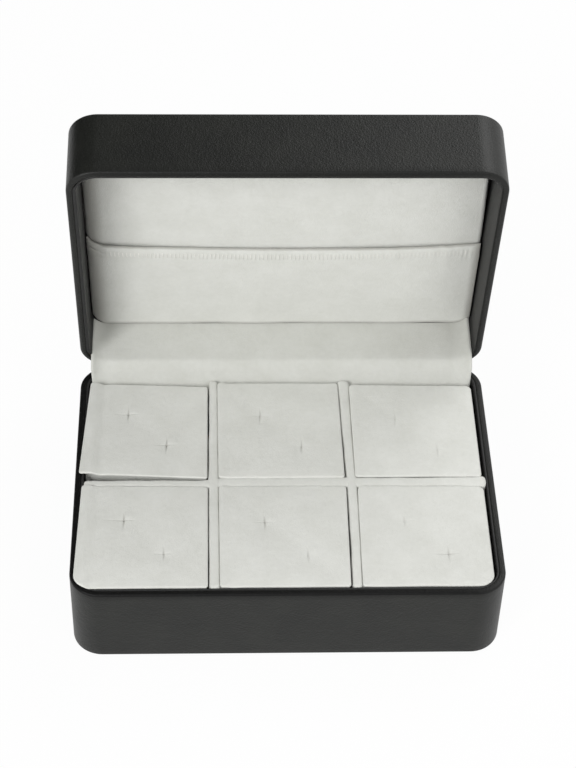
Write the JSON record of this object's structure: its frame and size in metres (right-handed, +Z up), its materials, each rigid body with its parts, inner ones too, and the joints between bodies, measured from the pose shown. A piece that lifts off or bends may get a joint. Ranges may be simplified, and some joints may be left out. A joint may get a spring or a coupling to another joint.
{
  "type": "cufflink display box",
  "caption": "Hinged box covered in black leatherette, lined in pale velvet, with slit cushions for cufflink pairs between dividers and a pocket in the lid.",
  "frame": {"origin": "centre of the base's footprint, on the surface that the box stands on", "axes": "+X to the right seen from the front, +Y to the back where the hinge is, +Z up"},
  "size_m": [0.16, 0.1461, 0.1567],
  "materials": {
    "leatherette": "black leatherette with a fine pebbled grain, low sheen",
    "velvet": "short-pile pale warm grey velvet",
    "lining_paper": "matt black lining paper",
    "fibreboard": "raw fibreboard",
    "card": "grey card",
    "foam": "soft pale foam",
    "elastic": "flat woven elastic",
    "hinge_steel": "nickelled steel strip"
  },
  "bodies": {
    "base": {"base_floor": "fibreboard", "base_liner": "lining_paper", "base_underside": "lining_paper", "base_wall": "fibreboard", "base_wrap": "leatherette", "divider_cross": "velvet", "divider_left": "velvet", "divider_right": "velvet", "flap_card": "card", "hinge_flap": "velvet", "hinge_leaf_base_left": "hinge_steel", "hinge_leaf_base_right": "hinge_steel", "hinge_pin_left": "hinge_steel", "hinge_pin_right": "hinge_steel", "hinge_rivets_base": "hinge_steel", "pad_cover_front_left": "velvet", "pad_cover_front_middle": "velvet", "pad_cover_front_right": "velvet", "pad_cover_rear_left": "velvet", "pad_cover_rear_middle": "velvet", "pad_cover_rear_right": "velvet", "pad_foam_front_left": "foam", "pad_foam_front_middle": "foam", "pad_foam_front_right": "foam", "pad_foam_rear_left": "foam", "pad_foam_rear_middle": "foam", "pad_foam_rear_right": "foam"},
    "lid": {"lid_wall": "fibreboard", "lid_top_board": "fibreboard", "lid_wrap": "leatherette", "lid_liner": "lining_paper", "lid_panel_card": "card", "lid_panel_pad": "velvet", "lid_pocket": "velvet", "pocket_elastic": "elastic", "hinge_leaf_lid_left": "hinge_steel", "hinge_leaf_lid_right": "hinge_steel", "hinge_rivets_lid": "hinge_steel"}
  },
  "joints": [
    {"name": "lid_hinge", "type": "hinge", "parent": "base", "child": "lid", "pos_m": [0, 0.059, 0.03565], "axis": [1, 0, 0], "range_deg": [0, 80], "deforming": ["hinge_flap"]}
  ]
}
